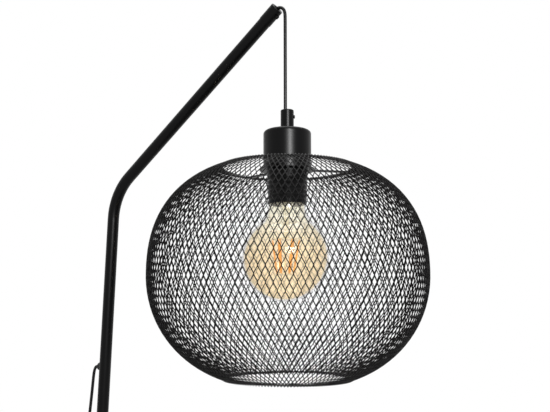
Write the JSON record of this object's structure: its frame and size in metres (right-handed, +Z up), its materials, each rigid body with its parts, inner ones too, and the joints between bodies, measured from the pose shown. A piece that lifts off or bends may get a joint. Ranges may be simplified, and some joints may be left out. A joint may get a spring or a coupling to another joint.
{
  "type": "floor lamp",
  "caption": "Arc-style floor lamp: round weighted base, bent tube pole and arm, and a round open wire mesh shade with a globe bulb hanging on a cord.",
  "frame": {"origin": "on the floor, at the middle of the underside of the round base", "axes": "+Z up; +X from the pole towards the hanging shade; +Y to the left, looking along +X"},
  "size_m": [0.709, 0.4244, 1.5497],
  "materials": {
    "base_paint": "satin black powder coat",
    "black_steel": "satin black powder coat",
    "cast_iron": "raw cast",
    "foam_pad": "matt foam",
    "zinc_steel": "zinc plated",
    "black_plastic": "fine matt",
    "black_rubber": "matt",
    "cord_jacket": "smooth flexible jacket",
    "white_ceramic": "glazed",
    "bulb_brass": "plain",
    "amber_glass": "clear amber",
    "clear_glass": "clear",
    "filament_yellow": "coated",
    "plug_nickel": "nickel plated"
  },
  "bodies": {
    "frame": {"base_cover": "base_paint", "base_weight": "cast_iron", "base_pad": "foam_pad", "base_stud": "zinc_steel", "base_washer": "zinc_steel", "base_nut": "zinc_steel", "pole_socket": "black_steel", "socket_screw": "zinc_steel", "pole_lower": "black_steel", "pole_middle": "black_steel", "pole_inserts": "zinc_steel", "pole_nipples": "zinc_steel", "arm_tube": "black_steel", "tip_sleeve": "black_steel", "tip_bushing": "black_plastic", "tip_screw": "black_steel", "lead_grommet": "black_rubber", "inner_cord": "cord_jacket", "pendant_cord_bend": "cord_jacket", "foot_switch_base": "black_plastic", "foot_switch_cover": "black_plastic", "foot_switch_spring": "zinc_steel", "foot_switch_block": "white_ceramic", "foot_switch_reliefs": "black_rubber", "lead_drop": "cord_jacket", "lead_link": "cord_jacket", "lead_coil": "cord_jacket", "lead_tail": "cord_jacket", "plug_body": "black_plastic", "plug_pins": "plug_nickel", "plug_relief": "black_rubber"},
    "cord_upper": {"pendant_cord_upper": "cord_jacket"},
    "cord_lower": {"pendant_cord_lower": "cord_jacket"},
    "pendant": {"cord_grip": "black_steel", "grip_screw": "black_plastic", "canister": "black_steel", "canister_nut": "zinc_steel", "lampholder_cap": "black_plastic", "lampholder_body": "black_plastic", "threaded_collar": "black_plastic", "terminal_block": "white_ceramic", "screw_shell": "bulb_brass", "centre_contact": "bulb_brass", "holder_wires": "cord_jacket", "bulb_cap": "bulb_brass", "bulb_glass": "amber_glass", "bulb_stem": "clear_glass", "bulb_filaments": "filament_yellow", "shade_mesh": "black_steel", "shade_top_ring": "black_steel", "shade_bottom_ring": "black_steel", "shade_spider": "black_steel"},
    "switch_button": {"foot_switch_button": "black_plastic"}
  },
  "joints": [
    {"name": "pendant_swing_out", "type": "hinge", "parent": "frame", "child": "cord_upper", "pos_m": [0.32247, 0, 1.5224], "axis": [0, 1, 0], "range_deg": [-20, 20]},
    {"name": "pendant_swing_side", "type": "hinge", "parent": "cord_upper", "child": "cord_lower", "pos_m": [0.32247, 0, 1.5014], "axis": [1, 0, 0], "range_deg": [-25, 25]},
    {"name": "pendant_turn", "type": "hinge", "parent": "cord_lower", "child": "pendant", "pos_m": [0.32247, 0, 1.41], "axis": [0, 0, 1], "range_deg": [-180, 180]},
    {"name": "switch_press", "type": "slide", "parent": "frame", "child": "switch_button", "axis": [0, 0, -1], "range_m": [0, 0.0025], "stiffness_N_per_m": 800, "springref_m": -0.002, "deforming": ["foot_switch_spring"]}
  ]
}
